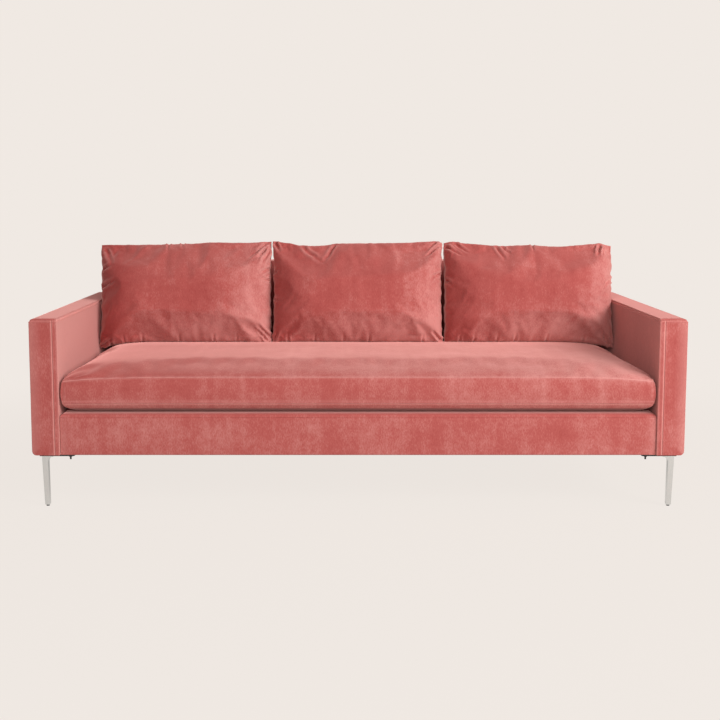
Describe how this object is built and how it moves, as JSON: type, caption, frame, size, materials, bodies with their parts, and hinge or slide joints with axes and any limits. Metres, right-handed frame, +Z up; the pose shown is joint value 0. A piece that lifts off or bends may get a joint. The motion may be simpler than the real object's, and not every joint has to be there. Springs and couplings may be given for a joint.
{
  "type": "three-seat track-arm sofa with loose cushions",
  "caption": "Upholstered sofa with thin square arms, a bench seat cushion, loose back cushions taller than the back frame, and slim polished legs.",
  "frame": {"origin": "on the floor, under the centre of the sofa's bounding box", "axes": "+Z up, +X to the right as seen from the front, the front faces -Y"},
  "size_m": [2.2, 0.965, 0.8733],
  "materials": {
    "velvet": "matte",
    "deck_cloth": "matte",
    "padding": "matte",
    "foam": "matte",
    "filling": "matte",
    "webbing": "matte",
    "black_cloth": "matte",
    "hardwood": "matte",
    "hardboard": "matte",
    "spring_steel": "satin",
    "plated_steel": "satin",
    "black_steel": "satin",
    "polished_chrome": "polished",
    "glide_plastic": "matte"
  },
  "bodies": {
    "frame": {"front_rail": "hardwood", "rear_rail": "hardwood", "side_rails": "hardwood", "stretchers": "hardwood", "corner_blocks": "hardwood", "seat_springs": "spring_steel", "spring_clips": "plated_steel", "tie_wires": "plated_steel", "deck_pad": "padding", "deck_cloth": "deck_cloth", "front_rail_pad": "padding", "front_rail_cover": "velvet", "arm_frame_left": "hardwood", "arm_frame_right": "hardwood", "arm_boards_left": "hardboard", "arm_boards_right": "hardboard", "arm_pad_left": "padding", "arm_pad_right": "padding", "arm_cover_left": "velvet", "arm_cover_right": "velvet", "arm_bolts": "plated_steel", "back_frame": "hardwood", "back_webbing": "webbing", "back_pad": "padding", "back_cover": "velvet", "outside_back_board": "hardboard", "outside_back_panel": "velvet", "back_bolts": "plated_steel", "dust_cover": "black_cloth", "leg_plates": "black_steel", "leg_studs": "black_steel", "leg_nuts": "black_steel", "leg_front_left": "polished_chrome", "leg_front_right": "polished_chrome", "leg_rear_left": "polished_chrome", "leg_rear_right": "polished_chrome", "glides": "glide_plastic"},
    "seat_cushion": {"seat_cushion_cover": "velvet", "seat_foam_core": "foam"},
    "back_cushion_left": {"left_cushion_front": "velvet", "left_cushion_rear": "velvet", "filling_left": "filling"},
    "back_cushion_middle": {"middle_cushion_front": "velvet", "middle_cushion_rear": "velvet", "filling_middle": "filling"},
    "back_cushion_right": {"right_cushion_front": "velvet", "right_cushion_rear": "velvet", "filling_right": "filling"}
  },
  "joints": [
    {"name": "seat_cushion_pull", "type": "slide", "parent": "frame", "child": "seat_cushion", "axis": [0, -1, 0], "range_m": [0, 0.85]},
    {"name": "back_cushion_left_lift", "type": "slide", "parent": "frame", "child": "back_cushion_left", "axis": [0, 0, 1], "range_m": [0, 0.43]},
    {"name": "back_cushion_middle_lift", "type": "slide", "parent": "frame", "child": "back_cushion_middle", "axis": [0, 0, 1], "range_m": [0, 0.43]},
    {"name": "back_cushion_right_lift", "type": "slide", "parent": "frame", "child": "back_cushion_right", "axis": [0, 0, 1], "range_m": [0, 0.43]}
  ]
}
